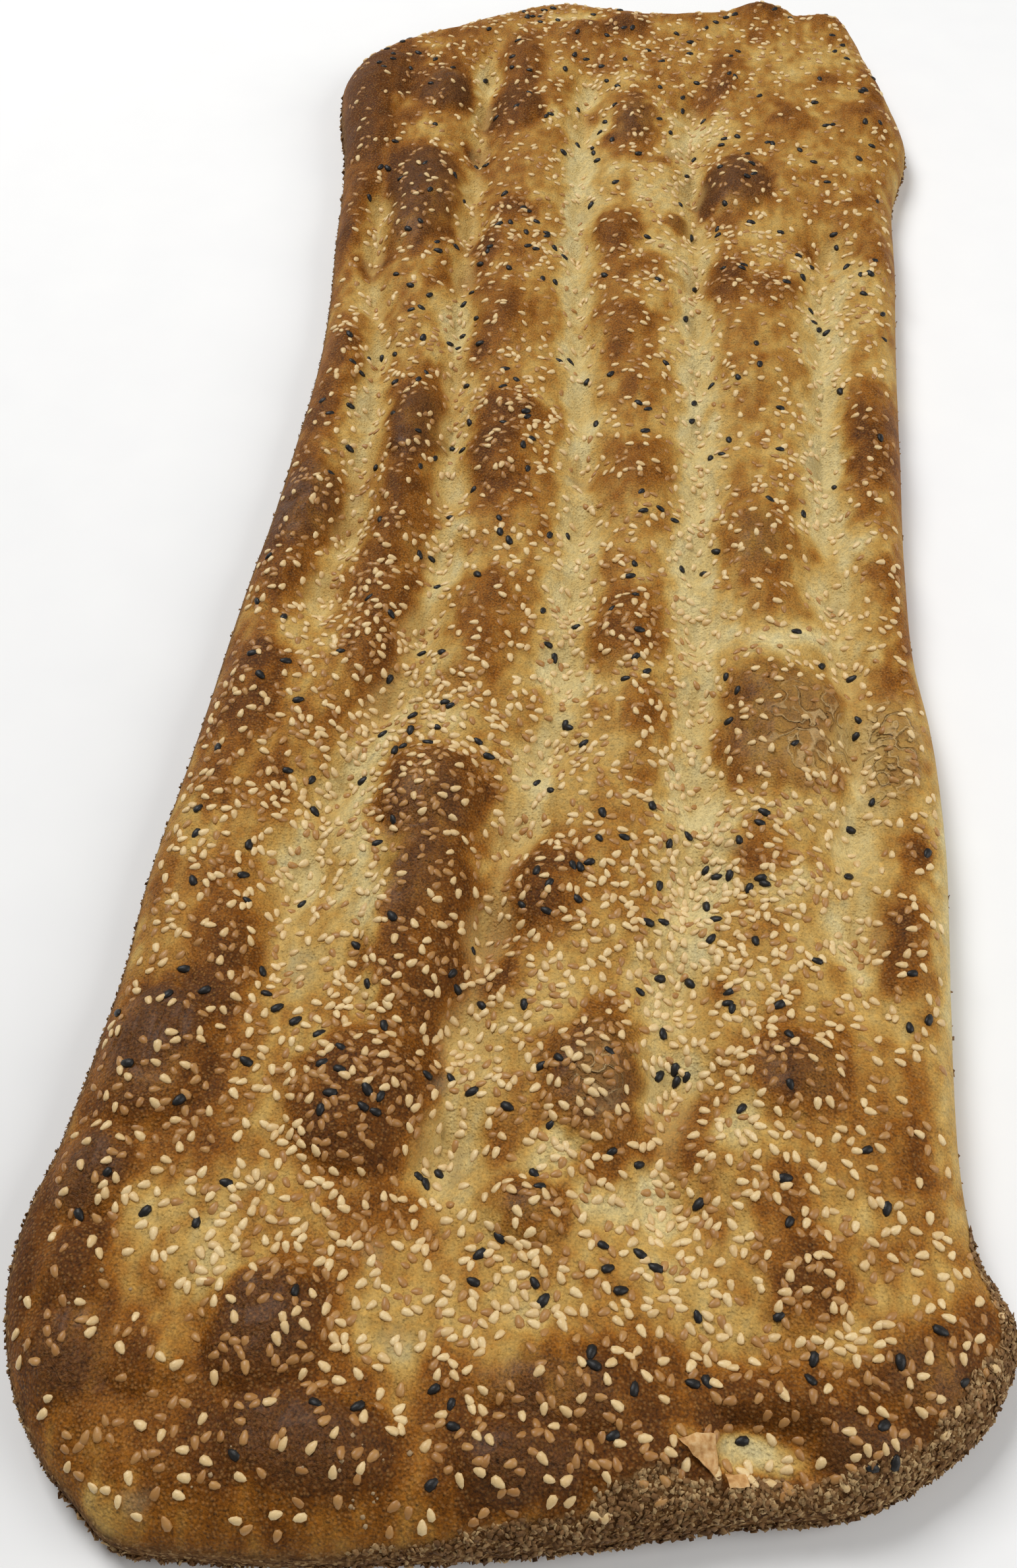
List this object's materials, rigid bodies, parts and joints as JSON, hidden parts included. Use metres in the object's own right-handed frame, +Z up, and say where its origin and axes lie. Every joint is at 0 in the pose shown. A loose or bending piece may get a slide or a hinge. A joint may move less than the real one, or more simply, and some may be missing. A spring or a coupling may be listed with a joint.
{
  "type": "barbari bread",
  "caption": "Long flat leavened loaf with finger grooves along its length, browned blisters, and sesame and black seeds on its crust.",
  "frame": {"origin": "on the flat underside, near the middle of the loaf", "axes": "+Y along the loaf toward its far end, +X to the right across it, +Z up out of the seeded crust"},
  "size_m": [0.3053, 0.8103, 0.0297],
  "materials": {
    "crust": "satin"
  },
  "bodies": {
    "root": {"barbari_bread": "crust"}
  },
  "joints": []
}
